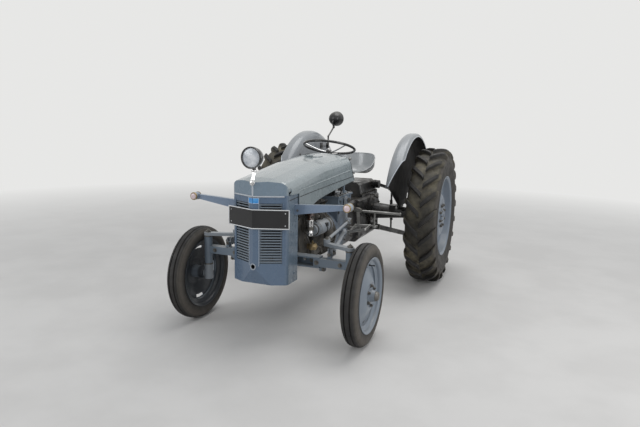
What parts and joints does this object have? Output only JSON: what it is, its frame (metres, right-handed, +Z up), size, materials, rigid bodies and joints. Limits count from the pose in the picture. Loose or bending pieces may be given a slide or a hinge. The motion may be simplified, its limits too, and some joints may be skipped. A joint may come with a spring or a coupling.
{
  "type": "vintage farm tractor",
  "caption": "Small vintage farm tractor with open engine, tilting slatted nose, lugged rear tyres and a three-point linkage.",
  "frame": {"origin": "on the floor under the middle of the whole machine, half-way along and across its box", "axes": "+Z up, the tractor faces -Y, +X is its left side"},
  "size_m": [1.791, 2.9154, 1.603],
  "materials": {
    "blue_grey_paint": "satin, weathered",
    "dark_casting": "oily, matt",
    "black_paint": "satin",
    "black_gloss": "gloss",
    "tyre_rubber": "matt, dusty",
    "bright_metal": "brushed",
    "seat_paint": "satin, worn",
    "lamp_glass": "clear, fluted",
    "enamel": "gloss enamel",
    "dull_steel": "dull"
  },
  "bodies": {
    "chassis": {"front_support": "blue_grey_paint", "radiator": "black_paint", "engine_block": "dark_casting", "engine_head": "dark_casting", "fan_drive": "dark_casting", "dynamo": "blue_grey_paint", "ignition_set": "bright_metal", "exhaust": "dull_steel", "air_cleaner": "dark_casting", "gearbox_housing": "dark_casting", "rear_axle_housing": "dark_casting", "lift_cover": "dark_casting", "steering_box": "blue_grey_paint", "battery_box": "black_paint", "fuel_tank": "dark_casting", "dash_panel": "blue_grey_paint", "levers": "dull_steel", "pedals": "dull_steel", "footrests": "dull_steel", "seat_spring": "dark_casting", "seat_pan": "seat_paint", "fenders": "blue_grey_paint", "work_lamp": "black_paint", "front_axle": "blue_grey_paint", "radius_rods": "blue_grey_paint"},
    "bonnet": {"nose_cowl": "blue_grey_paint", "grille_slats": "blue_grey_paint", "bonnet_shell": "blue_grey_paint", "headlamp": "black_gloss", "headlamp_lens": "lamp_glass", "number_plate": "black_paint", "badge_plate": "enamel", "lamp_arms": "blue_grey_paint"},
    "lid": {"filler_lid": "blue_grey_paint"},
    "steering_wheel_body": {"steering_wheel": "black_gloss"},
    "knuckle_left_body": {"knuckle_left": "blue_grey_paint"},
    "knuckle_right_body": {"knuckle_right": "blue_grey_paint"},
    "drop_arm_left_body": {"drop_arm_left": "blue_grey_paint"},
    "drop_arm_right_body": {"drop_arm_right": "blue_grey_paint"},
    "drag_link_left_body": {"drag_link_left": "blue_grey_paint"},
    "drag_link_right_body": {"drag_link_right": "blue_grey_paint"},
    "front_wheel_left": {"front_tyre_left": "tyre_rubber", "front_rim_left": "blue_grey_paint"},
    "front_wheel_right": {"front_tyre_right": "tyre_rubber", "front_rim_right": "blue_grey_paint"},
    "rear_wheel_left": {"rear_tyre_left": "tyre_rubber", "rear_rim_left": "blue_grey_paint"},
    "rear_wheel_right": {"rear_tyre_right": "tyre_rubber", "rear_rim_right": "blue_grey_paint"},
    "lift_arms_body": {"lift_arms": "dark_casting"},
    "lift_rod_left_body": {"lift_rod_left": "dark_casting"},
    "lift_rod_right_body": {"lift_rod_right": "dark_casting"},
    "lower_link_left_body": {"lower_link_left": "dark_casting"},
    "lower_link_right_body": {"lower_link_right": "dark_casting"}
  },
  "joints": [
    {"name": "bonnet_tilt", "type": "hinge", "parent": "chassis", "child": "bonnet", "pos_m": [0, -1.22575, 0.48], "axis": [1, 0, 0], "range_deg": [0, 75]},
    {"name": "filler_lid_hinge", "type": "hinge", "parent": "bonnet", "child": "lid", "pos_m": [0, -0.51975, 1.221], "axis": [1, 0, 0], "range_deg": [0, 100]},
    {"name": "steer_left", "type": "hinge", "parent": "chassis", "child": "knuckle_left_body", "pos_m": [0.5555, -1.10575, 0.5], "axis": [0, 0, 1], "range_deg": [-35, 35]},
    {"name": "steer_right", "type": "hinge", "parent": "chassis", "child": "knuckle_right_body", "pos_m": [-0.5555, -1.10575, 0.5], "axis": [0, 0, 1], "range_deg": [-35, 35]},
    {"name": "steering_wheel_turn", "type": "hinge", "parent": "chassis", "child": "steering_wheel_body", "pos_m": [0, -0.11389, 1.22892], "axis": [0, 0.2857, 0.9583], "range_deg": [-420, 420]},
    {"name": "drag_link_left_yaw", "type": "hinge", "parent": "knuckle_left_body", "child": "drag_link_left_body", "pos_m": [0.36, -1.03575, 0.676], "axis": [0, 0, 1], "range_deg": [-39, 39]},
    {"name": "drop_arm_left_swing", "type": "hinge", "parent": "chassis", "child": "drop_arm_left_body", "pos_m": [0.232, -0.29575, 0.86], "axis": [1, 0, 0], "range_deg": [-38, 38]},
    {"name": "front_wheel_left_spin", "type": "hinge", "parent": "knuckle_left_body", "child": "front_wheel_left", "pos_m": [0.6515, -1.08575, 0.348], "axis": [1, 0, 0], "continuous": true},
    {"name": "rear_wheel_left_spin", "type": "hinge", "parent": "chassis", "child": "rear_wheel_left", "pos_m": [0.7555, 0.69225, 0.632], "axis": [1, 0, 0], "continuous": true},
    {"name": "drag_link_right_yaw", "type": "hinge", "parent": "knuckle_right_body", "child": "drag_link_right_body", "pos_m": [-0.36, -1.03575, 0.676], "axis": [0, 0, 1], "range_deg": [-39, 39]},
    {"name": "drop_arm_right_swing", "type": "hinge", "parent": "chassis", "child": "drop_arm_right_body", "pos_m": [-0.232, -0.29575, 0.86], "axis": [1, 0, 0], "range_deg": [-38, 38]},
    {"name": "front_wheel_right_spin", "type": "hinge", "parent": "knuckle_right_body", "child": "front_wheel_right", "pos_m": [-0.6515, -1.08575, 0.348], "axis": [1, 0, 0], "continuous": true},
    {"name": "rear_wheel_right_spin", "type": "hinge", "parent": "chassis", "child": "rear_wheel_right", "pos_m": [-0.7555, 0.69225, 0.632], "axis": [1, 0, 0], "continuous": true},
    {"name": "lift", "type": "hinge", "parent": "chassis", "child": "lift_arms_body", "pos_m": [0, 0.80425, 0.88], "axis": [1, 0, 0], "range_deg": [0, 67]},
    {"name": "lift_rod_left_swing", "type": "hinge", "parent": "lift_arms_body", "child": "lift_rod_left_body", "pos_m": [0.245, 1.04573, 0.8153], "axis": [1, 0, 0], "range_deg": [-61, 0]},
    {"name": "lower_link_left_swing", "type": "hinge", "parent": "chassis", "child": "lower_link_left_body", "pos_m": [0.235, 0.67425, 0.47], "axis": [1, 0, 0], "range_deg": [0, 43]},
    {"name": "lift_rod_right_swing", "type": "hinge", "parent": "lift_arms_body", "child": "lift_rod_right_body", "pos_m": [-0.245, 1.04573, 0.8153], "axis": [1, 0, 0], "range_deg": [-61, 0]},
    {"name": "lower_link_right_swing", "type": "hinge", "parent": "chassis", "child": "lower_link_right_body", "pos_m": [-0.235, 0.67425, 0.47], "axis": [1, 0, 0], "range_deg": [0, 43]}
  ],
  "couplings": [
    {"joint": "steer_right", "follows": "steer_left", "ratio": 1},
    {"joint": "steering_wheel_turn", "follows": "steer_left", "ratio": 12},
    {"joint": "drag_link_left_yaw", "follows": "steer_left", "ratio": -1.09},
    {"joint": "drag_link_right_yaw", "follows": "steer_left", "ratio": -1.09},
    {"joint": "drop_arm_left_swing", "follows": "steer_left", "ratio": -1.07},
    {"joint": "drop_arm_right_swing", "follows": "steer_left", "ratio": 1.07},
    {"joint": "lift_rod_left_swing", "follows": "lift", "ratio": -0.888},
    {"joint": "lift_rod_right_swing", "follows": "lift", "ratio": -0.888},
    {"joint": "lower_link_left_swing", "follows": "lift", "ratio": 0.627},
    {"joint": "lower_link_right_swing", "follows": "lift", "ratio": 0.627}
  ]
}
